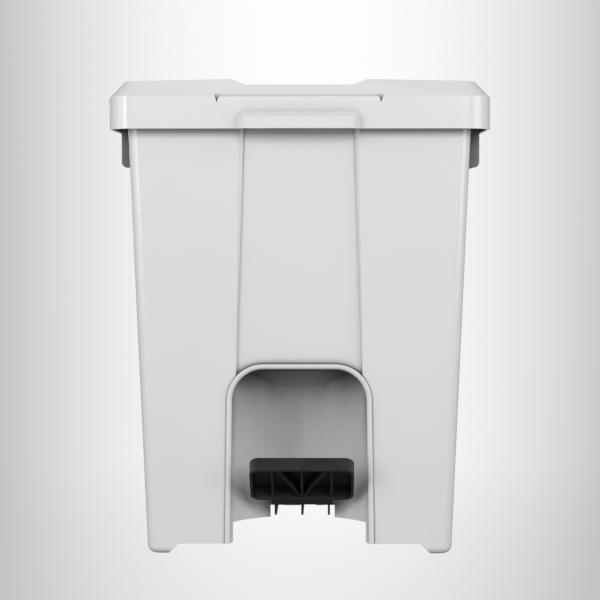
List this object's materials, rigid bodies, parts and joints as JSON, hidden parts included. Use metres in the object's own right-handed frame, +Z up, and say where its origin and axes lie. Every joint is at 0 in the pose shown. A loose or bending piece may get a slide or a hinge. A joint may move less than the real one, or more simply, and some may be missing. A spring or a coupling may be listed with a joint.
{
  "type": "pedal trash can",
  "caption": "Tapered rectangular plastic waste can with a rear-hinged lid that a front foot pedal opens through a lever and a rear lift rod.",
  "frame": {"origin": "on the floor under the middle of the can's outer box", "axes": "+Z up, the front with the pedal faces -Y, +X to the right seen from the front"},
  "size_m": [0.35, 0.3, 0.4396],
  "materials": {
    "white_plastic": "glossy injection-moulded polypropylene",
    "grey_plastic": "satin injection-moulded polypropylene",
    "black_plastic": "fine-textured moulded polypropylene",
    "zinc_steel": "zinc-plated steel wire and hardware",
    "rubber": "matt moulded rubber"
  },
  "bodies": {
    "root": {"outer_body": "white_plastic", "rear_rod_cover": "white_plastic", "inner_bucket": "grey_plastic", "pivot_bracket_left": "white_plastic", "pivot_bracket_right": "white_plastic", "pivot_bracket_screws": "zinc_steel", "rod_cover_screws": "zinc_steel", "hinge_pin_left": "zinc_steel", "hinge_pin_right": "zinc_steel", "lid_buffer_left": "rubber", "lid_buffer_right": "rubber", "pedal_axle": "zinc_steel", "axle_clip_left": "zinc_steel", "axle_clip_right": "zinc_steel", "rod_guide_lower": "white_plastic", "rod_guide_upper": "white_plastic"},
    "lid": {"lid": "white_plastic"},
    "pedal": {"pedal_lever": "black_plastic", "pedal_tread_pad": "rubber"},
    "rod": {"lift_rod": "zinc_steel", "rod_clip_lower": "zinc_steel", "rod_clip_upper": "zinc_steel"}
  },
  "joints": [
    {"name": "lid_hinge", "type": "hinge", "parent": "root", "child": "lid", "pos_m": [0, 0.143, 0.401], "axis": [-1, 0, 0], "range_deg": [0, 70]},
    {"name": "pedal_pivot", "type": "hinge", "parent": "root", "child": "pedal", "pos_m": [0, 0.01, 0.04], "axis": [1, 0, 0], "range_deg": [0, 10.95]},
    {"name": "rod_slide", "type": "slide", "parent": "root", "child": "rod", "axis": [0, 0, 1], "range_m": [0, 0.02243]}
  ],
  "couplings": [
    {"joint": "pedal_pivot", "follows": "lid_hinge", "ratio": 0.15628},
    {"joint": "rod_slide", "follows": "lid_hinge", "m_per_rad": 0.01834}
  ]
}
